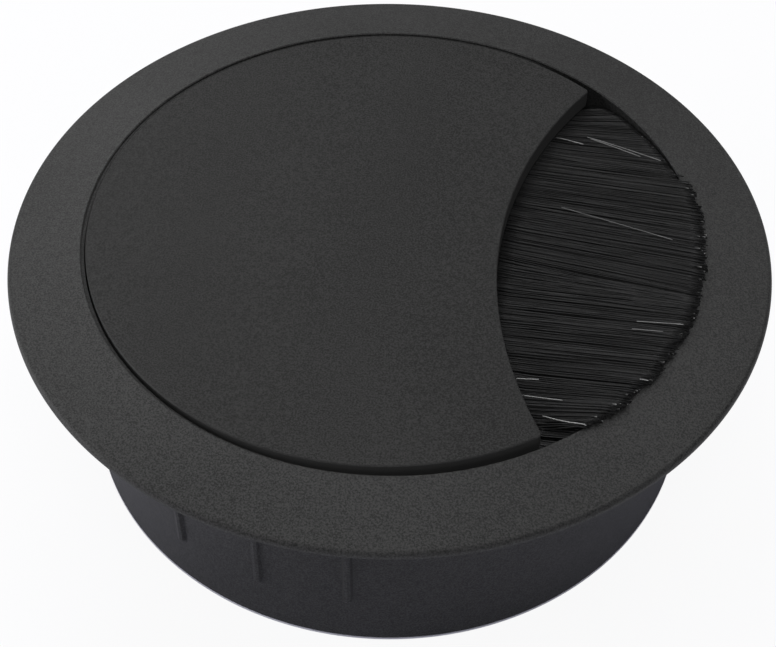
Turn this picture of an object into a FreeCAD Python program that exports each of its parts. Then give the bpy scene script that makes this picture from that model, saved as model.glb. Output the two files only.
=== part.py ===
"""Brush cable grommet: a flanged sleeve for a hole in a desk top, with a drop-in cover and a strip brush.

The frame stands at the middle of the sleeve's lower end: +Z is up, and +X points from the middle
to the crescent cut-out of the cover. Lengths are in millimetres and angles in degrees.
"""
import FreeCAD, Part
import math
import os

import Sketcher
from FreeCAD import Placement, Rotation, Vector

# Driving dimensions, one cell of the sheet each
SIZES = {
    # Flange, sleeve, crush ribs and ledge
    "flange_diameter": 95.0,
    "rim_height": 1.15,
    "rim_round": 0.55,
    "rim_break": 0.3,
    "flange_rise": 1.75,
    "ring_break": 0.12,
    "sleeve_diameter": 79.7,
    "sleeve_wall": 1.6,
    "sleeve_depth": 28.8,
    "lead_in": 0.4,
    "rib_height": 0.22,
    "rib_width": 0.8,
    "rib_lead": 0.8,
    "rib_root": 0.15,
    "rib_end_level": 7.8,
    "rib_pitch_angle": 16.2,
    "rib_group_angle": 256.3,
    "rib_groups": 3,
    "ledge_width": 2.3,
    "ledge_thickness": 1.6,
    # Cover, its cut-out and its skirt
    "cover_gap": 0.9,
    "cover_shift": 0.4,
    "cover_stand": 0.36,
    "cover_thickness": 2.4,
    "cover_break": 0.12,
    "tip_round": 0.6,
    "cutout_radius": 57.0,
    "cutout_reach": 14.25,
    "skirt_height": 6.4,
    "skirt_wall": 1.3,
    "skirt_inset": 0.4,
    "skirt_setback": 3.4,
    # Brush channel, its cradle under the cover and the core wire
    "channel_height": 3.6,
    "channel_depth": 6.0,
    "channel_sheet": 0.5,
    "channel_setback": 3.6,
    "cradle_wall": 1.2,
    "cradle_clearance": 0.05,
    "cradle_room": 2.7,
    "hook_reach": 2.4,
    "hook_width": 7.0,
    "hook_thickness": 1.0,
    "hook_spacing": 24.0,
    "core_diameter": 1.2,
    "grip_clearance": 0.05,
    # Bristles
    "bristle_inset": 1.0,
    "bristle_pitch": 0.52,
    "bristle_gap": 0.08,
    "bristle_lean": 8.5,
    "bristle_clearance": 0.12,
    "bristle_overhang": 0.9,
    "bristle_shortest": 0.2,
    "bristle_steepest": 10.5,
    "bristle_tip_thickness": 0.3,
    "bristle_end_thickness": 1.0,
}

# Lengths that several pieces share, worked out from the sheet's cells and from each other
FITS = {
    "bore_radius": "Sizes.sleeve_diameter / 2 - Sizes.sleeve_wall",
    "rim_level": "Sizes.sleeve_depth + Sizes.rim_height",
    "edge_level": "Fits.rim_level + Sizes.flange_rise",
    "cover_level": "Fits.edge_level + Sizes.cover_stand - Sizes.cover_thickness",
    "ledge_level": "Fits.cover_level - Sizes.skirt_height",
    "cover_radius": "Fits.bore_radius - Sizes.cover_gap",
    "skirt_radius": "Fits.cover_radius - Sizes.skirt_inset",
    "cutout_centre": "Sizes.cutout_reach + Sizes.cutout_radius",
    "channel_mouth": "Sizes.cutout_reach - Sizes.channel_setback",
    "channel_back": "Fits.channel_mouth - Sizes.channel_depth",
    "fold_radius": "Sizes.channel_height / 2",
    "grip_radius": "Fits.fold_radius - Sizes.channel_sheet",
    "fold_centre": "Fits.channel_back + Fits.fold_radius",
    "cradle_back": "Fits.channel_back - Sizes.cradle_clearance",
    "cradle_front": "Fits.channel_mouth + Sizes.cradle_clearance",
    "cradle_lip": "Fits.cradle_front + Sizes.cradle_wall",
    "cradle_chord": "sqrt((Fits.skirt_radius - Sizes.skirt_wall) ^ 2 - Fits.cradle_lip ^ 2)",
    "cradle_end": "Fits.cradle_chord - Sizes.cradle_room - Sizes.cradle_wall",
    "channel_length": "2 * (Fits.cradle_end - Sizes.cradle_clearance)",
    "bristle_span": "Fits.channel_length - 2 * Sizes.bristle_inset",
    "hook_level": "Sizes.channel_height + Sizes.cradle_clearance",
}

RIBS_IN_GROUP = 3
HOOKS = 3
TRIM_STEP = 2.4
NEAR = 1e-4

doc = FreeCAD.newDocument("brush_cable_grommet")
sheet = doc.addObject("Spreadsheet::Sheet", "Sizes")
for row, (name, size) in enumerate(SIZES.items(), start=1):
    sheet.set(f"A{row}", name)
    sheet.set(f"B{row}", str(size))
    sheet.setAlias(f"B{row}", name)
doc.recompute()

fits = doc.addObject("App::VarSet", "Fits")
for name, expression in FITS.items():
    fits.addProperty("App::PropertyFloat", name)
    fits.setExpression(name, expression)
doc.recompute()


def size_of(name):
    """The number in the sheet's cell of that name."""
    return float(sheet.get(name))


def new_body(name):
    """An empty body that carries the sub-part's name."""
    body = doc.addObject("PartDesign::Body", name)
    body.Label = name
    return body


def origin_feature(body, role):
    """One of the body's own origin planes or axes."""
    return next(feature for feature in body.Origin.OriginFeatures if feature.Role == role)


def new_sketch(body, role, name, level=None, turn=None):
    """A sketch on one of the body's own planes, lifted to a level or turned about the upright axis."""
    sketch = body.newObject("Sketcher::SketchObject", name)
    sketch.AttachmentSupport = [(origin_feature(body, role), "")]
    sketch.MapMode = "FlatFace"
    if level:
        sketch.setExpression("AttachmentOffset.Base.z", level)
    if turn:
        sketch.AttachmentOffset = Placement(Vector(), Rotation(Vector(0, 1, 0), 1))
        sketch.setExpression("AttachmentOffset.Rotation.Angle", turn)
    return sketch


def fix_point(sketch, geometry, end, guess, across, up):
    """Ties a point of the sketch to its two distances from the sketch's origin."""
    for kind, axis, start, length in (("DistanceX", -2, guess.x, across), ("DistanceY", -1, guess.y, up)):
        if length == "0":
            sketch.addConstraint(Sketcher.Constraint("PointOnObject", geometry, end, axis))
        else:
            index = sketch.addConstraint(Sketcher.Constraint(kind, -1, 1, geometry, end, start))
            sketch.setExpression(f"Constraints[{index}]", length)


def add_outline(sketch, corners):
    """A closed outline of straight edges through corners, each a pair of lengths."""
    first = len(sketch.Geometry)
    count = len(corners)
    turns = [2 * math.pi * n / count for n in range(count)]
    guesses = [Vector(50 + 20 * math.cos(turn), 50 + 20 * math.sin(turn), 0) for turn in turns]
    for n in range(count):
        sketch.addGeometry(Part.LineSegment(guesses[n], guesses[(n + 1) % count]))
    for n in range(count):
        following = first + (n + 1) % count
        sketch.addConstraint(Sketcher.Constraint("Coincident", first + n, 2, following, 1))
    for n, (across, up) in enumerate(corners):
        fix_point(sketch, first + n, 1, guesses[n], across, up)


def add_circle(sketch, radius, across="0"):
    """A circle about the sketch's origin, or about a point on its level axis."""
    guess = Vector(0 if across == "0" else 50, 0, 0)
    index = sketch.addGeometry(Part.Circle(guess, Vector(0, 0, 1), 10))
    fix_point(sketch, index, 3, guess, across, "0")
    bind_radius(sketch, index, 10, radius)


def bind_radius(sketch, geometry, guess, radius):
    """Ties a circle's or an arc's radius to a length."""
    index = sketch.addConstraint(Sketcher.Constraint("Radius", geometry, guess))
    sketch.setExpression(f"Constraints[{index}]", radius)


def add_feature(body, kind, name, sketch, length=None, **settings):
    """A sketch-based feature of the body, with its length tied to the sheet."""
    feature = body.newObject(f"PartDesign::{kind}", name)
    feature.Profile = sketch
    for setting, value in settings.items():
        setattr(feature, setting, value)
    if length:
        feature.setExpression("Length", length)
    doc.recompute()
    return feature


def add_pocket(body, name, sketch, length, **settings):
    """A pocket, with a test that it takes material away."""
    before = body.Shape.Volume
    add_feature(body, "Pocket", name, sketch, length, **settings)
    if body.Shape.Volume >= before:
        raise RuntimeError(f"{name} cuts nothing")


def round_corner(sketch, line, guess, radius):
    """Rounds the corner at the end of a line of a solved outline, and keeps the sharp corner as a point."""
    arc = sketch.GeometryCount
    sketch.fillet(line, 2, guess, True, True)
    bind_radius(sketch, arc, guess, radius)


def dress_edges(body, kind, name, setting, length, wanted):
    """A fillet or a chamfer on every edge of the body that wanted picks."""
    base = body.Tip
    edges = [f"Edge{n}" for n, edge in enumerate(base.Shape.Edges, start=1) if wanted(edge)]
    dressing = body.newObject(f"PartDesign::{kind}", name)
    dressing.Base = (base, edges)
    dressing.setExpression(setting, length)
    doc.recompute()


def is_level_at(edge, level):
    """Does this edge lie at that level along its whole length?"""
    return all(abs(vertex.Z - level) < NEAR for vertex in edge.Vertexes) and edge.BoundBox.ZLength < NEAR


def is_upright_to(edge, level):
    """Is this a straight upright edge whose upper end is at that level?"""
    upright = isinstance(edge.Curve, Part.Line) and edge.BoundBox.ZLength > edge.Length - NEAR
    return upright and abs(edge.BoundBox.ZMax - level) < NEAR


def make_flanged_sleeve():
    """The flange, sleeve and inner ledge as one turned form, with pointed crush ribs on the outside."""
    body = new_body("flanged_sleeve")
    bore = "Fits.bore_radius"
    outside = "Sizes.sleeve_diameter / 2"
    rim = "Sizes.flange_diameter / 2"
    ledge = "Fits.bore_radius - Sizes.ledge_width"
    ledge_base = "Fits.ledge_level - Sizes.ledge_thickness"
    rim_break = "min(Sizes.rim_break; Sizes.rim_height / 3)"
    flange_slope = f"Sizes.flange_rise / ({rim} - {bore})"
    section = new_sketch(body, "XZ_Plane", "sleeve_section")
    add_outline(section, [
        (bore, "0"),
        (f"{outside} - Sizes.lead_in", "0"),
        (outside, "Sizes.lead_in"),
        (outside, "Sizes.sleeve_depth"),
        (f"{rim} - {rim_break}", "Sizes.sleeve_depth"),
        (rim, f"Sizes.sleeve_depth + {rim_break}"),
        (rim, "Fits.rim_level"),
        (f"{bore} + Sizes.ring_break", f"Fits.edge_level - Sizes.ring_break * {flange_slope}"),
        (bore, "Fits.edge_level - Sizes.ring_break"),
        (bore, "Fits.ledge_level"),
        (ledge, "Fits.ledge_level"),
        (ledge, ledge_base),
        (bore, f"{ledge_base} - Sizes.ledge_width"),
    ])
    doc.recompute()
    rim_line = 5
    round_corner(section, rim_line, size_of("rim_round"), "min(Sizes.rim_round; Sizes.rim_height / 2)")
    add_feature(body, "Revolution", "turned_form", section, ReferenceAxis=(section, ["V_Axis"]), Angle=360)

    root = f"{outside} - Sizes.sleeve_wall / 2"
    crest = f"{outside} + Sizes.rib_height"
    buried_top = "Sizes.sleeve_depth + Sizes.rim_height / 2"
    rib_slope = "atan(2 * Sizes.rib_height / Sizes.rib_width)"
    rib_length = "Sizes.rib_width + 2 * Sizes.rib_root"
    ribs = []
    for n in range(RIBS_IN_GROUP):
        step = n - (RIBS_IN_GROUP - 1) / 2
        turn = f"(Sizes.rib_group_angle + {step} * Sizes.rib_pitch_angle) * 1 deg"
        section = new_sketch(body, "XZ_Plane", f"rib_section_{n}", turn=turn)
        add_outline(section, [
            (root, "Sizes.rib_end_level"),
            (outside, "Sizes.rib_end_level"),
            (crest, "Sizes.rib_end_level + Sizes.rib_lead"),
            (crest, buried_top),
            (root, buried_top),
        ])
        rib = add_feature(body, "Pad", f"rib_{n}", section, rib_length, Midplane=True)
        rib.setExpression("TaperAngle", f"-{rib_slope}")
        ribs.append(rib)
    doc.recompute()
    groups = body.newObject("PartDesign::PolarPattern", "rib_groups")
    groups.Originals = ribs
    groups.Axis = (origin_feature(body, "Z_Axis"), [""])
    groups.Angle = 360
    groups.setExpression("Occurrences", "Sizes.rib_groups")
    body.Tip = groups
    doc.recompute()
    return body


def make_cover():
    """The plate with its crescent cut-out, the skirt that stands on the ledge and the brush's cradle."""
    body = new_body("cover")
    body.setExpression("Placement.Base.x", "-Sizes.cover_shift")
    body.setExpression("Placement.Base.z", "Fits.cover_level")

    disc = new_sketch(body, "XY_Plane", "plate_outline")
    add_circle(disc, "Fits.cover_radius")
    add_feature(body, "Pad", "plate", disc, "Sizes.cover_thickness")

    ring = new_sketch(body, "XY_Plane", "skirt_outline")
    add_circle(ring, "Fits.skirt_radius")
    add_circle(ring, "Fits.skirt_radius - Sizes.skirt_wall")
    add_feature(body, "Pad", "skirt", ring, "Sizes.skirt_height", Reversed=True)

    skirt_end = new_sketch(body, "XY_Plane", "skirt_break_outline")
    add_circle(skirt_end, "Sizes.cutout_radius + Sizes.skirt_setback", across="Fits.cutout_centre")
    add_pocket(body, "skirt_break", skirt_end, "Sizes.skirt_height")

    crescent = new_sketch(body, "XY_Plane", "cutout_outline")
    add_circle(crescent, "Sizes.cutout_radius", across="Fits.cutout_centre")
    add_pocket(body, "cutout", crescent, "Sizes.cover_thickness", Reversed=True)

    top = size_of("cover_thickness")
    tip_round = "Sizes.tip_round"
    dress_edges(body, "Fillet", "crescent_tips", "Radius", tip_round, lambda edge: is_upright_to(edge, top))
    edge_break = "Sizes.cover_break"
    dress_edges(body, "Chamfer", "plate_edge", "Size", edge_break, lambda edge: is_level_at(edge, top))

    back = "Fits.cradle_back - Sizes.cradle_wall"
    front = "Fits.cradle_lip"
    end = "(Fits.cradle_end + Sizes.cradle_wall)"
    lip = "(Fits.channel_length - Sizes.bristle_inset) / 2"
    walls = new_sketch(body, "XY_Plane", "cradle_outline")
    add_outline(walls, [
        (back, f"-{end}"),
        (front, f"-{end}"),
        (front, f"-{lip}"),
        ("Fits.cradle_front", f"-{lip}"),
        ("Fits.cradle_front", "-Fits.cradle_end"),
        ("Fits.cradle_back", "-Fits.cradle_end"),
        ("Fits.cradle_back", "Fits.cradle_end"),
        ("Fits.cradle_front", "Fits.cradle_end"),
        ("Fits.cradle_front", lip),
        (front, lip),
        (front, end),
        (back, end),
    ])
    add_feature(body, "Pad", "cradle_walls", walls, "Fits.hook_level + Sizes.hook_thickness", Reversed=True)

    hooks = new_sketch(body, "XY_Plane", "hook_outline", level="-Fits.hook_level")
    reach = "Fits.cradle_back + Sizes.hook_reach"
    for n in range(HOOKS):
        middle = f"{n - (HOOKS - 1) / 2} * Sizes.hook_spacing"
        low = f"{middle} - Sizes.hook_width / 2"
        high = f"{middle} + Sizes.hook_width / 2"
        add_outline(hooks, [(back, low), (reach, low), (reach, high), (back, high)])
    add_feature(body, "Pad", "cradle_hooks", hooks, "Sizes.hook_thickness", Reversed=True)
    return body


def add_fold(sketch):
    """The closed outline of a strip folded to a U on its side, about the sketch's origin."""
    leg, outer, inner = 30, 10, 8
    upper, lower = math.pi / 2, 3 * math.pi / 2
    origin, normal = Vector(0, 0, 0), Vector(0, 0, 1)
    sketch.addGeometry([
        Part.LineSegment(Vector(leg, outer, 0), Vector(0, outer, 0)),
        Part.ArcOfCircle(Part.Circle(origin, normal, outer), upper, lower),
        Part.LineSegment(Vector(0, -outer, 0), Vector(leg, -outer, 0)),
        Part.LineSegment(Vector(leg, -outer, 0), Vector(leg, -inner, 0)),
        Part.LineSegment(Vector(leg, -inner, 0), Vector(0, -inner, 0)),
        Part.ArcOfCircle(Part.Circle(origin, normal, inner), upper, lower),
        Part.LineSegment(Vector(0, inner, 0), Vector(leg, inner, 0)),
        Part.LineSegment(Vector(leg, inner, 0), Vector(leg, outer, 0)),
    ])
    joins = [(0, 2, 1, 1), (1, 2, 2, 1), (2, 2, 3, 1), (3, 2, 4, 1), (4, 2, 5, 2), (5, 1, 6, 1), (6, 2, 7, 1),
             (7, 2, 0, 1), (1, 3, -1, 1), (5, 3, -1, 1)]
    for join in joins:
        sketch.addConstraint(Sketcher.Constraint("Coincident", *join))
    for arc, end in ((1, 1), (1, 2), (5, 1), (5, 2)):
        sketch.addConstraint(Sketcher.Constraint("PointOnObject", arc, end, -2))
    for level_line in (0, 2, 4, 6):
        sketch.addConstraint(Sketcher.Constraint("Horizontal", level_line))
    for upright_line in (3, 7):
        sketch.addConstraint(Sketcher.Constraint("Vertical", upright_line))
    for line in (0, 3):
        index = sketch.addConstraint(Sketcher.Constraint("DistanceX", -1, 1, line, 1, leg))
        sketch.setExpression(f"Constraints[{index}]", "Sizes.channel_depth - Fits.fold_radius")
    bind_radius(sketch, 1, outer, "Fits.fold_radius")
    bind_radius(sketch, 5, inner, "Fits.grip_radius")


def make_brush_channel():
    """The folded strip that grips the bristles, with its mouth towards the cut-out."""
    body = new_body("brush_channel")
    body.setExpression("Placement.Base.x", "Fits.fold_centre - Sizes.cover_shift")
    body.setExpression("Placement.Base.z", "Fits.cover_level - Fits.fold_radius")
    section = new_sketch(body, "XZ_Plane", "channel_section")
    add_fold(section)
    add_feature(body, "Pad", "folded_strip", section, "Fits.channel_length", Midplane=True)
    return body


def make_brush_core_wire():
    """The wire round which the bristles are folded, along the middle of the channel's fold."""
    wire = doc.addObject("Part::Cylinder", "brush_core_wire")
    wire.Label = "brush_core_wire"
    wire.setExpression("Radius", "Sizes.core_diameter / 2")
    wire.setExpression("Height", "Fits.channel_length")
    wire.Placement = Placement(Vector(), Rotation(Vector(1, 0, 0), -90))
    wire.setExpression("Placement.Base.x", "Fits.fold_centre - Sizes.cover_shift")
    wire.setExpression("Placement.Base.y", "-Fits.channel_length / 2")
    wire.setExpression("Placement.Base.z", "Fits.cover_level - Fits.fold_radius")
    return wire


def run_to_circle(start, lean, centre, radius, far):
    """How far a leaning bristle runs to the far or near side of a circle about a point on the X axis."""
    ahead = (centre - start.x) * math.cos(lean) + start.y * math.sin(lean)
    aside = (centre - start.x) * math.sin(lean) - start.y * math.cos(lean)
    half = math.sqrt(radius ** 2 - aside ** 2)
    return ahead + half if far else ahead - half


def ridge_profile(start, width, lean, trim):
    """The side view of one ridge of bristles as (run, level) corners, from the channel to its trimmed end.

    Levels count from the plate's underside. A ridge that can climb over the ring's edge ends beyond it,
    and a steeper one ends inside the bore.
    """
    clearance = size_of("bristle_clearance")
    tip = size_of("bristle_tip_thickness")
    buried = -size_of("channel_sheet")
    root_high = buried - size_of("grip_clearance")
    root_low = -size_of("channel_height") - root_high
    sides = [start + Vector(0, side * width / 2, 0) for side in (-1, 1)]
    shift = size_of("cover_shift")
    cut_radius = size_of("cutout_radius")
    bore_runs = [run_to_circle(side, lean, shift, fits.bore_radius, True) for side in sides]
    bore = min(bore_runs)
    cut = min(run_to_circle(side, lean, fits.cutout_centre, cut_radius, False) for side in sides)
    climb = math.tan(math.radians(size_of("bristle_steepest")))
    over = fits.edge_level - fits.cover_level + clearance
    root = [(buried, root_low), (0, root_low)]
    crest = [(cut, -clearance), (0, root_high), (buried, root_high)]
    if over + tip + clearance <= climb * (bore - cut):
        end = max(bore_runs) + trim
        bend = bore - 2 * clearance
        return root + [(bend, over), (end, over), (end, over + tip), (bore, over + tip)] + crest
    end = bore - clearance
    high = climb * (end - cut) - clearance
    return root + [(end, high - size_of("bristle_end_thickness")), (end, high)] + crest


def make_pack():
    """The bristles inside the channel, folded round the wire."""
    span = fits.bristle_span
    clearance = size_of("grip_clearance")
    grip = fits.grip_radius - clearance
    middle = Vector(fits.fold_centre, -span / 2, -fits.fold_radius)
    length_way = Vector(0, 1, 0)
    fold = Part.makeCylinder(grip, span, middle, length_way)
    legs = Part.makeBox(fits.channel_mouth - middle.x, span, 2 * grip, middle - Vector(0, 0, grip))
    bore = Part.makeCylinder(size_of("core_diameter") / 2 + clearance, span, middle, length_way)
    return fold.fuse(legs).cut(bore)


def make_ridges():
    """A comb of leaning ridges from the channel's mouth to the ring, with their ends trimmed unevenly."""
    lean = math.radians(size_of("bristle_lean"))
    pitch = size_of("bristle_pitch")
    longest = size_of("bristle_overhang")
    shortest = size_of("bristle_shortest")
    along = Vector(math.cos(lean), -math.sin(lean), 0)
    across = Vector(math.sin(lean), math.cos(lean), 0)
    width = pitch * math.cos(lean) - size_of("bristle_gap")
    count = int(fits.bristle_span / pitch)
    ridges = []
    for n in range(count):
        start = Vector(fits.channel_mouth, (n - (count - 1) / 2) * pitch, 0)
        trim = shortest + (longest - shortest) * math.sin(TRIM_STEP * n) ** 2
        profile = ridge_profile(start, width, lean, trim)
        corners = [start + along * run + Vector(0, 0, level) for run, level in profile]
        side = Part.Face(Part.makePolygon(corners + corners[:1]))
        side.translate(across * (-width / 2))
        ridges.append(side.extrude(across * width))
    return ridges


def make_bristles(carrier):
    """The bristles as one pack with its comb of ridges, placed with the cover that carries them."""
    brush = doc.addObject("Part::Feature", "bristles")
    brush.Label = "bristles"
    brush.Shape = make_pack().fuse(make_ridges())
    brush.Placement = carrier.Placement
    return brush


def check_document(pieces):
    """Stops the build if an object failed or a piece has no sound shape."""
    for item in doc.Objects:
        if {"Invalid", "Error"} & set(item.State):
            raise RuntimeError(f"{item.Name} failed: {item.State}")
    for piece in pieces:
        if piece.Shape.isNull() or not piece.Shape.isValid():
            raise RuntimeError(f"{piece.Label} has no sound shape")


sleeve = make_flanged_sleeve()
cover = make_cover()
channel = make_brush_channel()
core_wire = make_brush_core_wire()
doc.recompute()
bristles = make_bristles(cover)
doc.recompute()

pieces = [sleeve, cover, channel, core_wire, bristles]
check_document(pieces)
os.makedirs("parts", exist_ok=True)
for piece in pieces:
    piece.Shape.exportStep(os.path.join("parts", f"{piece.Label}.step"))
    print(piece.Label, len(piece.Shape.Solids), "solid, volume", round(piece.Shape.Volume, 1))
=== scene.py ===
"""Looks of the brush cable grommet.

Grained black plastic, a brush of loose filaments and a plain pale studio.
"""

import math
import random

import bpy
from mathutils import Matrix, Vector


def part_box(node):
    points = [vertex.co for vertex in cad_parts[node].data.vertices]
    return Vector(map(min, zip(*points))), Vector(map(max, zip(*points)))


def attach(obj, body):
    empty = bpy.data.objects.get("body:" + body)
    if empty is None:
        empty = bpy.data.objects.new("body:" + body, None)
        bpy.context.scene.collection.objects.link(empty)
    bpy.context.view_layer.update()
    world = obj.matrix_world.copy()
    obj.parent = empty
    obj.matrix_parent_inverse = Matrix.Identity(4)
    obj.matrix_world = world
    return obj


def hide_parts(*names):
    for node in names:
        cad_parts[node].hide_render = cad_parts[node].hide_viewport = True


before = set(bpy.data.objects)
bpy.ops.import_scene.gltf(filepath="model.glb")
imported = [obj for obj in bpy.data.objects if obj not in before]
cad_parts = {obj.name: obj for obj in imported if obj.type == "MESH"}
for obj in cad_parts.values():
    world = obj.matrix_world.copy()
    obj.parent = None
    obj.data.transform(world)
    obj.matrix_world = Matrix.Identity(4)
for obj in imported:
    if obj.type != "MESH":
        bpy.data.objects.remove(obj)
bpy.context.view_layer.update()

MM = 0.001
random.seed(80)

# The photograph's frame and the camera that took it
FRAME_WIDTH_PX = 776
FOCAL_LENGTH_PX = 1656
SENSOR_WIDTH = 36.0
CAMERA_PLACE = Vector((23.19, -144.18, 178.10)) * MM
CAMERA_AIM = Vector((2.17, -14.38, 29.96)) * MM
CAMERA_ROLL = math.radians(0.508)
CLIP_START = 1 * MM

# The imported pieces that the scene's own pieces meet, in millimetres
PLATE_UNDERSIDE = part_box("brush_channel")[1].z / MM
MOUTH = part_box("brush_channel")[1].x / MM
HALF_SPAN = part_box("bristles")[1].y / MM
FLANGE_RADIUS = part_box("flanged_sleeve")[1].x / MM

# Turned section of the sleeve, in millimetres
SLEEVE_RADIUS = 39.85
BORE_RADIUS = 38.25
SLEEVE_DEPTH = 28.8
LEAD_IN = 0.4
FLANGE_RISE = 1.75
RING_EDGE = 31.7
RING_BREAK = 0.15
RIM_BREAK = 0.3
RIM_ROUND = 0.75
RIM_STEPS = 8
LEDGE_LEVEL = 23.26
LEDGE_WIDTH = 2.3
LEDGE_THICKNESS = 1.6
SLEEVE_STEPS = 540
SHARP_ANGLE = math.radians(20)

# A slight step inside the bore, below the ring's edge. It runs along the cover and fades out
# towards the crescent, between these angles from the crescent's middle, in degrees.
STEP_DEPTH = 0.38
STEP_WIDTH = 0.35
STEP_LEAD = STEP_WIDTH / 2
STEP_RUN_OUT = STEP_WIDTH * 3
STEP_FADE = (60, 80)

# Crush ribs of the sleeve, in millimetres and degrees
RIB_HEIGHT = 0.5
RIB_WIDTH = 1.3
RIB_LEAD = 0.8
RIB_END_LEVEL = 7.8
RIB_PITCH_ANGLE = 16.2
RIB_GROUP_ANGLE = 256.3
RIB_GROUPS = 3
RIBS_IN_GROUP = 3
# Share of a rib's height at each place across it, counted in half widths
RIB_FORM = {-1: 0, -0.6: 0.85, 0: 1, 0.6: 0.85, 1: 0}

# The cut edge of the cover, above the brush, and how far the brush tips the cover up
CUT_RADIUS = 57.0
CUT_CENTRE = 70.85
COVER_TILT = math.radians(0.55)

# Form of every filament, in millimetres. The higher the crowding, the closer its points lie
# towards the trimmed end.
FILAMENT_RADIUS = 0.08
FILAMENT_SIDES = 4
FILAMENT_STEPS = 6
CROWDING = 1.6
# A filament starts inside the channel, runs under the cover's cut edge and crosses the ring's
# edge. Each pair of levels is for the lowest and the highest filaments.
ROOT_INSET = 1.5
ROOT_LEVELS = (PLATE_UNDERSIDE - 2.9, PLATE_UNDERSIDE - 0.65)
CUT_LEVELS = (PLATE_UNDERSIDE - 2.0, PLATE_UNDERSIDE - 0.35)
CROSSING_LEVELS = (RING_EDGE + 0.12, RING_EDGE + 0.55)
BEND_SHARE = 0.6
# The filaments that reach the ring about between these places lie on its edge with their tips
OVER_RING = (-27.0, 13.5)
OVER_RING_SPREAD = 0.5
TIP_SLOPES = (-0.12, 0.1)
# The rest end inside the bore: their gap to it, and how far they stay below the ring's edge
BORE_GAPS = (0.35, 0.6)
INSIDE_DROP = 0.4
INSIDE_FALL = 0.1
STEEPEST = math.radians(14.0)
# How far the filaments lean, in degrees, by their place along the channel
LEANS = [
    (-29, -9), (-25, -8.5), (-12, -6), (-4, -7), (0, -13),
    (8.6, -11), (20.7, -10), (26, -6), (29, -3),
]

# The loose bed of the brush. Here and below, levels and shades run from 0 to 1, a trim is the
# length beyond the ring's edge, and a spread is the usual departure, in degrees or millimetres.
BED_FILAMENTS = 1900
BED_LEAN_SPREAD = 1.2
BED_LEVELS = (0, 0.6)
BED_TRIMS = (0.1, 0.6)
BED_SHADES = (0.1, 0.6)

# Clumps on the bed: each one is turned, lifted, gathered towards its tips and trimmed as a whole
CLUMP_FILAMENTS = 3300
CLUMP_WIDTHS = (0.4, 1.6)
CLUMP_TURN_SPREAD = 0.7
CLUMP_LIFTS = (0, 0.12)
CLUMP_GATHERS = (0.1, 0.5)
CLUMP_TRIM = 0.4
CLUMP_TRIM_SPREAD = 0.3
GATHER_REACH = 22
STRAND_LEAN_SPREAD = 0.7
STRAND_LEVELS = (0.35, 1)
STRAND_TRIM_SPREAD = 0.25
STRAND_TRIMS = (0.05, 1.2)

# Single filaments on top of the clumps, with lighter shades than the rest: painted light on the
# brush's top layer
CREST_SPACING = 0.3
CREST_LEAN_SPREAD = 0.8
CREST_LEVEL = 1.0
CREST_TRIMS = (0.1, 0.9)
CREST_LIFT = 0.15
CREST_RADIUS = FILAMENT_RADIUS * 1.1
CREST_LIT_SHADES = (0.4, 1)

# Stray filaments that lie across the others, from one place to another, and how pale each is
# painted: a painted highlight standing in for the glint on it
STRAYS = [
    ((18.8, 22.2), (22.4, 20.6), 0.9),
    ((22.8, 22.0), (32.5, 17.4), 0.5),
    ((23.3, 21.6), (29.9, 18.1), 0.5),
    ((20.7, 8.4), (34.8, 3.4), 0.3),
    ((31.4, -10.6), (36.8, -10.8), 0.6),
    ((30.9, -11.9), (34.5, -12.1), 0.5),
    ((18.3, -20.2), (20.9, -20.3), 1.0),
    ((19.3, -22.6), (23.9, -23.4), 1.0),
    ((21.9, -25.6), (26.7, -27.7), 1.0),
    ((32.3, -20.0), (33.3, -20.1), 0.8),
]
STRAY_RADIUS = FILAMENT_RADIUS * 0.7
STRAY_LEVELS = (PLATE_UNDERSIDE + 0.1, RING_EDGE + 0.8)

# Filaments with a shade above this turn pale, a painted highlight. A few cut ends are painted
# lighter than their filaments, as painted glints.
GLINT_SHADE = 1.5
TIP_GLINT = 1.3
TIP_GLINT_RARITY = 4

# The floor: half its width and its drop below the sleeve in metres, its grey with a touch of
# blue, and the share of plain white in it where it shows white
FLOOR_HALF = 3.0
FLOOR_DROP = 0.05 * MM
FLOOR_LEVEL = 0.82
FLOOR_TINT = 0.16
FLOOR_GLOW = 0.92
# The floor shows white in reflections from this distance on, in millimetres, and is shaded by
# the object nearer to it
MIRRORED_FLOOR = 66.0

# Square softboxes that face the object: place and size in metres, power in watts
SOFTBOX_AIM = (0, 0, 0.02)
SOFTBOXES = {
    "key_softbox": ((-0.3, 0.35, 0.4), 0.3, 1.2),
    "low_softbox": ((-0.35, -0.08, 0.10), 0.2, 0.68),
    "back_softbox": ((0.0, 0.35, 0.7), 0.6, 2.35),
    "side_softbox": ((0.35, 0.45, 0.5), 0.25, 0.74),
    "fill_softbox": ((0.05, -0.28, 0.55), 0.25, 1.0),
    "front_softbox": ((0.12, -0.4, 0.2), 0.25, 0.2),
}
ROOM_LIGHT = 0.03


class Value:
    """A shader socket that takes part in arithmetic: each operator adds a Math node."""

    def __init__(self, tree, socket):
        self.tree = tree
        self.socket = socket

    def maths(self, operation, first, second):
        node = self.tree.nodes.new("ShaderNodeMath")
        node.operation = operation
        feed(self.tree, node.inputs[0], first)
        feed(self.tree, node.inputs[1], second)
        return Value(self.tree, node.outputs[0])

    def __add__(self, other):
        return self.maths("ADD", self, other)

    def __sub__(self, other):
        return self.maths("SUBTRACT", self, other)

    def __rsub__(self, other):
        return self.maths("SUBTRACT", other, self)

    def __mul__(self, other):
        return self.maths("MULTIPLY", self, other)

    def __gt__(self, other):
        return self.maths("GREATER_THAN", self, other)

    __radd__ = __add__
    __rmul__ = __mul__


def feed(tree, socket, term):
    """Links a socket to a value, or sets it to a number, colour or vector."""
    if isinstance(term, Value):
        tree.links.new(term.socket, socket)
    else:
        socket.default_value = term


def pick(sockets, key):
    """The socket with that identifier, or else with that name."""
    matches = [socket for socket in sockets if socket.identifier == key]
    return matches[0] if matches else sockets[key]


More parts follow.
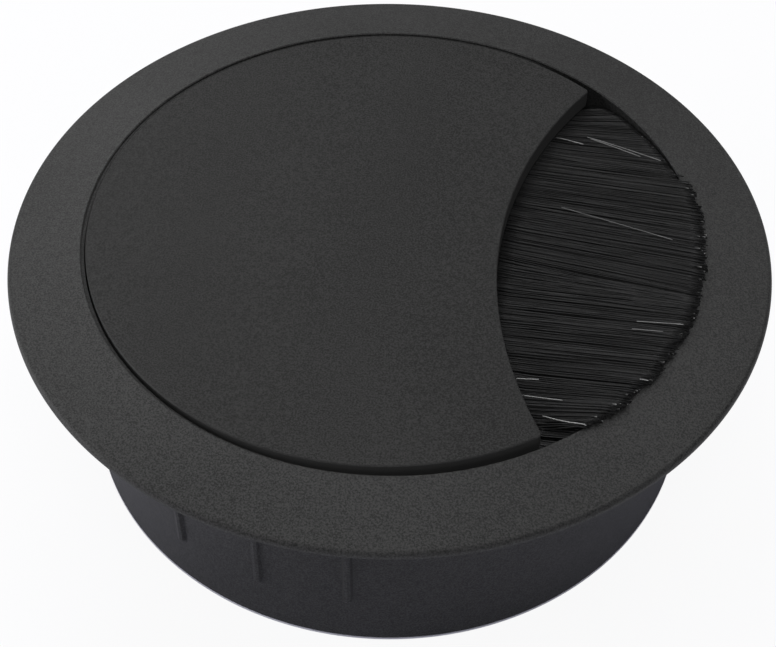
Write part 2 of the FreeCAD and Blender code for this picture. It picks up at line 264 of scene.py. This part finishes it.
class Finish:
    """The nodes of one material, or of the world."""

    def __init__(self, owner):
        owner.use_nodes = True
        self.tree = owner.node_tree
        self.tree.nodes.clear()

    def add(self, kind, settings=None, sockets=None, out=0):
        """A node with its settings, then its sockets' values or links; gives one output back."""
        node = self.tree.nodes.new(f"ShaderNode{kind}")
        for name, setting in (settings or {}).items():
            setattr(node, name, setting)
        for name, term in (sockets or {}).items():
            feed(self.tree, pick(node.inputs, name), term)
        return Value(self.tree, pick(node.outputs, out)) if node.outputs else None

    def blend(self, factor, first, second):
        """A colour between two colours."""
        sockets = {"Factor_Float": factor, "A_Color": first, "B_Color": second}
        return self.add("Mix", {"data_type": "RGBA"}, sockets, out="Result_Color")

    def stretch(self, place, scale):
        """A place scaled along each axis."""
        return self.add("VectorMath", {"operation": "MULTIPLY"}, {0: place, 1: Vector(scale)})

    def millimetres(self):
        """The place on the object, counted in millimetres."""
        place = self.add("TexCoord", out="Object")
        return self.stretch(place, Vector((1, 1, 1)) / MM)

    def noise(self, place, scale, detail=2.0, roughness=0.5):
        """Soft noise with about that many cells to the unit of place."""
        sockets = {"Vector": place, "Scale": scale, "Detail": detail, "Roughness": roughness}
        return self.add("TexNoise", None, sockets)

    def bump(self, strength, depth, height):
        """Relief of that depth in millimetres."""
        sockets = {"Strength": strength, "Distance": depth * MM, "Height": height}
        return self.add("Bump", None, sockets)

    def surface(self, shader):
        self.add("OutputMaterial", None, {"Surface": shader})

    def principled(self, sockets):
        self.surface(self.add("BsdfPrincipled", None, sockets))


def new_finish(name):
    """A new material, its nodes, and the place on the object in millimetres."""
    material = bpy.data.materials.new(name)
    finish = Finish(material)
    return material, finish, finish.millimetres()


def grey(level, tint=0.0):
    """A neutral colour, with a little blue for a positive tint."""
    return (level, level, level * (1 + tint), 1.0)


def grained_plastic(name, dark, light, gloss, upright_light=None):
    """Black moulded plastic with the fine grain of a spark-eroded mould.

    The grain runs between a dark and a light tone. The last argument, where given, is a lighter
    tone blended onto upright faces: painted light on the faces that stand upright.
    """
    material, finish, place = new_finish(name)
    grain = finish.noise(place, scale=4.6, roughness=0.65)
    mottle = finish.noise(place, scale=1.0)
    drift = finish.noise(place, scale=0.05, detail=1.0)
    grain_contrast, mottle_contrast, drift_contrast, offset = 4.0, 0.5, 0.4, 1.95
    tone = grain * grain_contrast + mottle * mottle_contrast + drift * drift_contrast - offset
    colour = finish.blend(tone, grey(dark), grey(light))
    # Upright faces blend towards the lighter tone: painted light on them, not a tone of the plastic
    if upright_light:
        upright_light_share = 0.8
        normal = finish.add("NewGeometry", out="Normal")
        facing_up = finish.add("SeparateXYZ", None, {0: normal}, out="Z")
        colour = finish.blend((1 - facing_up * facing_up) * upright_light_share, colour, grey(upright_light))
    mottle_relief = 0.4
    smoothest, grain_roughness = 0.48, 0.2
    bump = finish.bump(strength=0.6, depth=0.06, height=grain + mottle * mottle_relief)
    finish.principled({
        "Base Color": colour,
        "Roughness": smoothest + grain * grain_roughness,
        "Specular IOR Level": gloss,
        "Normal": bump,
    })
    return material


def brush_nylon():
    """Black drawn nylon: each filament has a shade of its own and a slight gloss, and the palest
    shades are painted highlights.
    """
    material, finish, place = new_finish("brush_nylon")
    shade = finish.add("Attribute", {"attribute_name": "shade"}, out="Fac")
    streak = finish.noise(place, scale=2.4)
    shade_contrast, streak_contrast, offset = 0.8, 1.2, 0.5
    tone = shade * shade_contrast + streak * streak_contrast - offset
    black = finish.blend(tone, grey(0.007), grey(0.0195, tint=0.03))
    # Shades above the threshold blend towards light grey: painted highlights on the strays and on a
    # few cut ends
    glint_paleness = 2
    colour = finish.blend((shade - GLINT_SHADE) * glint_paleness, black, grey(0.4))
    bump = finish.bump(strength=0.2, depth=0.01, height=streak)
    roughest, shade_gloss = 0.45, 0.1
    finish.principled({
        "Base Color": colour,
        "Roughness": roughest - shade * shade_gloss,
        "Specular IOR Level": 0.2,
        "Normal": bump,
    })
    return material


def zinc_steel():
    """Zinc-plated steel strip and wire, with rolling marks along their length."""
    material, finish, place = new_finish("zinc_steel")
    stretched = finish.stretch(place, (6, 0.2, 6))
    streak = finish.noise(stretched, scale=1.0, detail=3.0)
    cloud = finish.noise(place, scale=0.3)
    streak_share, cloud_share = 0.6, 0.4
    tone = streak * streak_share + cloud * cloud_share
    colour = finish.blend(tone, grey(0.42), grey(0.66, tint=0.02))
    bump = finish.bump(strength=0.3, depth=0.02, height=streak)
    smoothest, cloud_roughness = 0.3, 0.2
    finish.principled({
        "Base Color": colour,
        "Metallic": 1.0,
        "Roughness": smoothest + cloud * cloud_roughness,
        "Normal": bump,
    })
    return material


def between(low, high, share):
    return low + (high - low) * share


def clamp(value, low=0, high=1):
    return min(max(value, low), high)


def run_to_circle(x, y, lean, centre, radius, far):
    """How far a line at an angle to the X axis runs from a point to a circle's far or near side."""
    ahead = (centre - x) * math.cos(lean) - y * math.sin(lean)
    aside = (centre - x) * math.sin(lean) + y * math.cos(lean)
    half = math.sqrt(max(radius ** 2 - aside ** 2, 0.0))
    return ahead + half if far else ahead - half


def lean_at(y):
    """The usual lean at a place along the channel, in degrees."""
    for (low, first), (high, last) in zip(LEANS, LEANS[1:]):
        if y <= high:
            return between(first, last, (y - low) / (high - low))
    return LEANS[-1][1]


def filament_path(y, lean, level, trim, lift):
    """Points along one filament from the channel to its trimmed end, in millimetres."""
    lean = math.radians(lean)
    cut = run_to_circle(MOUTH, y, lean, CUT_CENTRE, CUT_RADIUS, far=False)
    bore = run_to_circle(MOUTH, y, lean, 0.0, BORE_RADIUS, far=True)
    root = between(*ROOT_LEVELS, level)
    under = between(*CUT_LEVELS, level)
    crossing = between(*CROSSING_LEVELS, level) + lift
    corners = [(-ROOT_INSET, root), (cut * BEND_SHARE, between(root, under, 0.5)), (cut, under)]
    reached = y + bore * math.sin(lean)
    beyond = max(reached - OVER_RING[1], OVER_RING[0] - reached)
    if beyond < random.gauss(0, OVER_RING_SPREAD):
        tip = crossing + trim * random.uniform(*TIP_SLOPES)
        corners += [(bore, crossing), (bore + trim, tip)]
    else:
        end = bore - random.uniform(*BORE_GAPS)
        steepest = under + (end - cut) * math.tan(STEEPEST)
        corners += [(end, min(crossing - INSIDE_DROP - max(beyond, 0) * INSIDE_FALL, steepest))]
    return [
        Vector((MOUTH + run * math.cos(lean), y + run * math.sin(lean), z))
        for run, z in smooth(corners)
    ]


def stray_path(start, end):
    """Points along a stray filament that lies on the others, in millimetres."""
    points = []
    for step in range(FILAMENT_STEPS + 1):
        place = Vector(start).lerp(Vector(end), step / FILAMENT_STEPS)
        cut = CUT_CENTRE - math.sqrt(CUT_RADIUS ** 2 - place.y ** 2)
        bore = math.sqrt(BORE_RADIUS ** 2 - place.y ** 2)
        share = clamp((place.x - cut) / (bore - cut))
        points.append(Vector((place.x, place.y, between(*STRAY_LEVELS, share))))
    return points


def smooth(corners):
    """Points on a line through (run, level) corners, closest together towards the trimmed end."""
    tolerance = 1e-9
    runs = [run for run, _ in corners]
    points = []
    for step in range(FILAMENT_STEPS + 1):
        run = between(runs[0], runs[-1], 1 - (1 - step / FILAMENT_STEPS) ** CROWDING)
        n = max(i for i in range(len(runs) - 1) if runs[i] <= run + tolerance)
        share = (run - runs[n]) / (runs[n + 1] - runs[n])
        points.append((run, between(corners[n][1], corners[n + 1][1], share)))
    return points


def add_tube(verts, faces, shades, path, radius, shade, glinting_tip_shade):
    """A closed tube of few sides along a path, added to the lists of a mesh."""
    sides = FILAMENT_SIDES
    start = len(verts)
    last = len(path) - 1
    turn = random.uniform(0, math.tau)
    for n, point in enumerate(path):
        ahead = (path[min(n + 1, last)] - path[max(n - 1, 0)]).normalized()
        side = ahead.cross(Vector((0, 0, 1))).normalized()
        up = side.cross(ahead)
        for k in range(sides):
            angle = turn + math.tau * k / sides
            out = side * math.cos(angle) + up * math.sin(angle)
            verts.append((point + out * radius) * MM)
            # The last ring takes the tip's shade, which holds a cut end's painted glint
            shades.append(glinting_tip_shade if n == last else shade)
    for n in range(last):
        for k in range(sides):
            a = start + n * sides + k
            b = start + n * sides + (k + 1) % sides
            faces.append((a, b, b + sides, a + sides))
    faces.append(tuple(start + k for k in reversed(range(sides))))
    faces.append(tuple(start + last * sides + k for k in range(sides)))


def add_object(name, data):
    """A new object in the scene."""
    thing = bpy.data.objects.new(name, data)
    bpy.context.scene.collection.objects.link(thing)
    return thing


def new_piece(name, verts, faces, material):
    """A smooth-shaded mesh object."""
    mesh = bpy.data.meshes.new(name)
    mesh.from_pydata(verts, [], faces)
    mesh.shade_smooth()
    mesh.materials.append(material)
    return add_object(name, mesh)


def add_brush_piece(name, filaments, material):
    """A piece of the brush from (path, radius, shade) filaments."""
    verts, faces, shades = [], [], []
    for path, radius, shade in filaments:
        # A few cut ends get a lighter shade: painted glints on the filament tips
        glinting_tip_shade = shade + TIP_GLINT * random.random() ** TIP_GLINT_RARITY
        add_tube(verts, faces, shades, path, radius, shade, glinting_tip_shade)
    piece = new_piece(name, verts, faces, material)
    piece.data.attributes.new("shade", "FLOAT", "POINT").data.foreach_set("value", shades)
    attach(piece, "root")
    return piece


def bed_filaments():
    """The loose bed, all along the channel."""
    bed = []
    for _ in range(BED_FILAMENTS):
        y = random.uniform(-HALF_SPAN, HALF_SPAN)
        lean = lean_at(y) + random.gauss(0, BED_LEAN_SPREAD)
        level = random.uniform(*BED_LEVELS)
        trim = random.uniform(*BED_TRIMS)
        path = filament_path(y, lean, level, trim, lift=0)
        bed.append((path, FILAMENT_RADIUS, random.uniform(*BED_SHADES)))
    return bed


def clumps_of_brush():
    """Places and widths of the clumps along the channel."""
    clumps = []
    y = -HALF_SPAN
    while y < HALF_SPAN:
        width = random.uniform(*CLUMP_WIDTHS)
        clumps.append((y + width / 2, width))
        y += width
    return clumps


def clump_filaments(middle, width):
    """The filaments of one clump, which share a turn, a lift, a gather and a trim."""
    clump = []
    turned = random.gauss(0, CLUMP_TURN_SPREAD)
    lift = random.uniform(*CLUMP_LIFTS)
    gather = random.uniform(*CLUMP_GATHERS)
    length = random.gauss(CLUMP_TRIM, CLUMP_TRIM_SPREAD)
    for _ in range(round(CLUMP_FILAMENTS * width / (2 * HALF_SPAN))):
        offset = random.uniform(-0.5, 0.5) * width
        y = middle + offset
        pull = -math.degrees(math.atan(offset * gather / GATHER_REACH))
        lean = lean_at(y) + turned + pull + random.gauss(0, STRAND_LEAN_SPREAD)
        trim = clamp(random.gauss(length, STRAND_TRIM_SPREAD), *STRAND_TRIMS)
        path = filament_path(y, lean, random.uniform(*STRAND_LEVELS), trim, lift)
        clump.append((path, FILAMENT_RADIUS, random.random() ** 2))
    return clump


def crest_filaments():
    """Single filaments on top, evenly spread along the channel."""
    crest = []
    for n in range(round(2 * HALF_SPAN / CREST_SPACING)):
        y = (n + random.random()) * CREST_SPACING - HALF_SPAN
        lean = lean_at(y) + random.gauss(0, CREST_LEAN_SPREAD)
        path = filament_path(y, lean, CREST_LEVEL, random.uniform(*CREST_TRIMS), CREST_LIFT)
        # The top layer takes lighter shades: painted light
        crest.append((path, CREST_RADIUS, random.uniform(*CREST_LIT_SHADES)))
    return crest


def make_bristles():
    """Thousands of filaments: a loose bed, clumps that each lie differently, and single ones."""
    nylon = brush_nylon()
    add_brush_piece("bristle_bed", bed_filaments(), nylon)

    upper = []
    for middle, width in clumps_of_brush():
        upper += clump_filaments(middle, width)
    upper += crest_filaments()
    # Each stray is painted pale by its share: a painted highlight
    for start, end, pale in STRAYS:
        upper.append((stray_path(start, end), STRAY_RADIUS, GLINT_SHADE + pale / 2))
    upper_piece = add_brush_piece("bristle_filaments", upper, nylon)
    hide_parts("bristles")


def make_cover():
    """The cover as the brush leaves it: up over the crescent, and down on the ledge opposite."""
    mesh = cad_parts["cover"].data.copy()
    tilt = Matrix.Rotation(-COVER_TILT, 3, "Y")
    pivot = Vector((MOUTH, 0, PLATE_UNDERSIDE)) * MM
    for vertex in mesh.vertices:
        place = pivot + tilt @ (vertex.co - pivot)
        place.z = max(place.z, LEDGE_LEVEL * MM)
        vertex.co = place
    # The cover's upright faces get a lighter tone: painted light on its side faces
    plastic = grained_plastic("cover_plastic", dark=0.0, light=0.025, gloss=0.225, upright_light=0.06)
    mesh.materials.clear()
    mesh.materials.append(plastic)
    piece = add_object("cover_tipped", mesh)
    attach(piece, "root")
    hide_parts("cover")


def dress_steel_nodes():
    """The strip and the wire that hold the brush keep their own form."""
    steel = zinc_steel()
    for node in ("brush_channel", "brush_core_wire"):
        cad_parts[node].data.materials.clear()
        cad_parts[node].data.materials.append(steel)


def sleeve_section():
    """Corners of the sleeve's turned section.

    Each is a radius, a level, and the shares of the ribs' height and of the step's width there.
    """
    slope = FLANGE_RISE / (FLANGE_RADIUS - BORE_RADIUS)
    ledge_base = LEDGE_LEVEL - LEDGE_THICKNESS
    ledge_radius = BORE_RADIUS - LEDGE_WIDTH
    rim_level = RING_EDGE - FLANGE_RISE
    step_level = RING_EDGE - STEP_DEPTH
    lower = [
        (BORE_RADIUS, 0, 0, 0),
        (SLEEVE_RADIUS - LEAD_IN, 0, 0, 0),
        (SLEEVE_RADIUS, LEAD_IN, 0, 0),
        (SLEEVE_RADIUS, RIB_END_LEVEL, 0, 0),
        (SLEEVE_RADIUS, RIB_END_LEVEL + RIB_LEAD, 1, 0),
        (SLEEVE_RADIUS, SLEEVE_DEPTH, 1, 0),
        (FLANGE_RADIUS - RIM_BREAK, SLEEVE_DEPTH, 0, 0),
        (FLANGE_RADIUS, SLEEVE_DEPTH + RIM_BREAK, 0, 0),
    ]
    sweep = math.pi / 2 - math.atan(slope)
    centre_radius = FLANGE_RADIUS - RIM_ROUND
    centre_level = rim_level - RIM_ROUND * math.tan(sweep / 2)
    rim = []
    for n in range(RIM_STEPS + 1):
        turn = sweep * n / RIM_STEPS
        radius = centre_radius + RIM_ROUND * math.cos(turn)
        rim.append((radius, centre_level + RIM_ROUND * math.sin(turn), 0, 0))
    upper = [
        (BORE_RADIUS + RING_BREAK, RING_EDGE - RING_BREAK * slope, 0, 0),
        (BORE_RADIUS, RING_EDGE - RING_BREAK, 0, 0),
        (BORE_RADIUS, step_level, 0, 0),
        (BORE_RADIUS, step_level - STEP_LEAD, 0, 1),
        (BORE_RADIUS, step_level - STEP_RUN_OUT, 0, 0),
        (BORE_RADIUS, LEDGE_LEVEL, 0, 0),
        (ledge_radius, LEDGE_LEVEL, 0, 0),
        (ledge_radius, ledge_base, 0, 0),
        (BORE_RADIUS, ledge_base - LEDGE_WIDTH, 0, 0),
    ]
    return lower + rim + upper


def rib_angles():
    """The middle of every crush rib, in degrees about the sleeve's axis."""
    steps = [n - (RIBS_IN_GROUP - 1) / 2 for n in range(RIBS_IN_GROUP)]
    groups = [RIB_GROUP_ANGLE + 360 * n / RIB_GROUPS for n in range(RIB_GROUPS)]
    return [(group + step * RIB_PITCH_ANGLE) % 360 for group in groups for step in steps]


def sleeve_turns():
    """Angles round the sleeve in fine steps, each with the share of a rib's height there."""
    half = math.degrees(RIB_WIDTH / 2 / SLEEVE_RADIUS)
    middles = rib_angles()
    ribs = {rib + half * place: share for rib in middles for place, share in RIB_FORM.items()}
    angles = [360 * n / SLEEVE_STEPS for n in range(SLEEVE_STEPS)]
    plain = [(angle, 0) for angle in angles if all(abs(angle - rib) > half for rib in middles)]
    return sorted(plain + list(ribs.items()))


def make_sleeve():
    """The flanged sleeve, turned in fine steps, with its crush ribs and the step in its bore."""
    turns = sleeve_turns()
    section = sleeve_section()
    verts, faces = [], []
    for angle, share in turns:
        out = Vector((math.cos(math.radians(angle)), math.sin(math.radians(angle)), 0))
        from_crescent = min(angle, 360 - angle)
        step = clamp((from_crescent - STEP_FADE[0]) / (STEP_FADE[1] - STEP_FADE[0]))
        for radius, level, rib_part, step_part in section:
            proud = RIB_HEIGHT * share * rib_part - STEP_WIDTH * step * step_part
            verts.append((out * (radius + proud) + Vector((0, 0, level))) * MM)
    rows = len(section)
    for n in range(len(turns)):
        here = n * rows
        there = (n + 1) % len(turns) * rows
        for k in range(rows):
            after = (k + 1) % rows
            faces.append((here + k, there + k, there + after, here + after))
    plastic = grained_plastic("sleeve_plastic", dark=0.007, light=0.039, gloss=0.3)
    piece = new_piece("flanged_sleeve_fine", verts, faces, plastic)
    piece.data.set_sharp_from_angle(angle=SHARP_ANGLE)
    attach(piece, "root")
    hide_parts("flanged_sleeve")


def make_floor():
    """A pale floor that shows white to the camera and still takes the object's shadow."""
    half = FLOOR_HALF
    corners = [(-half, -half, 0), (half, -half, 0), (half, half, 0), (-half, half, 0)]
    mesh = bpy.data.meshes.new("floor")
    mesh.from_pydata(corners, [], [(0, 1, 2, 3)])
    floor = add_object("floor", mesh)
    floor.location.z = -FLOOR_DROP
    material, finish, place = new_finish("pale_floor")
    away = finish.add("VectorMath", {"operation": "LENGTH"}, {0: place}, out="Value")
    seen = finish.add("LightPath", out="Is Camera Ray") * (away > SLEEVE_RADIUS)
    mirrored = finish.add("LightPath", out="Is Glossy Ray") * (away > MIRRORED_FLOOR)
    paper = finish.add("BsdfDiffuse", None, {"Color": grey(FLOOR_LEVEL, FLOOR_TINT)})
    glow = finish.add("Emission", None, {"Color": grey(1.0), "Strength": 1.0})
    white = (seen + mirrored) * FLOOR_GLOW
    finish.surface(finish.add("MixShader", None, {0: white, 1: paper, 2: glow}))
    mesh.materials.append(material)


def add_softbox(name, place, size, power):
    """A square area light that faces the object."""
    light = bpy.data.lights.new(name, "AREA")
    light.size = size
    light.energy = power
    lamp = add_object(name, light)
    lamp.location = place
    facing = Vector(SOFTBOX_AIM) - Vector(place)
    lamp.rotation_euler = facing.to_track_quat("-Z", "Y").to_euler()


def make_studio():
    """Soft light from behind, from the left and from the front, and a dim room that looks white."""
    for name, (place, size, power) in SOFTBOXES.items():
        add_softbox(name, place, size, power)
    world = bpy.data.worlds.new("studio")
    bpy.context.scene.world = world
    finish = Finish(world)
    seen = finish.add("LightPath", out="Is Camera Ray")
    room = finish.add("Background", None, {"Color": grey(1.0), "Strength": ROOM_LIGHT})
    white = finish.add("Background", None, {"Color": grey(1.0), "Strength": 1.0})
    shown = finish.add("MixShader", None, {0: seen, 1: room, 2: white})
    finish.add("OutputWorld", None, {"Surface": shown})


def make_camera():
    """The camera at the photograph's place, aim, focal length and slight roll."""
    lens = bpy.data.cameras.new("camera")
    lens.sensor_width = SENSOR_WIDTH
    lens.lens = FOCAL_LENGTH_PX / FRAME_WIDTH_PX * SENSOR_WIDTH
    lens.clip_start = CLIP_START
    camera = add_object("camera", lens)
    back = (CAMERA_PLACE - CAMERA_AIM).normalized()
    level = Vector((0, 0, 1)).cross(back).normalized()
    right = Matrix.Rotation(CAMERA_ROLL, 3, back) @ level
    up = back.cross(right)
    turn = Matrix((right, up, back)).transposed().to_4x4()
    camera.matrix_world = Matrix.Translation(CAMERA_PLACE) @ turn
    bpy.context.scene.camera = camera


make_cover()
dress_steel_nodes()
make_sleeve()
make_bristles()
make_floor()
make_studio()
make_camera()
bpy.context.scene.view_settings.view_transform = "Standard"
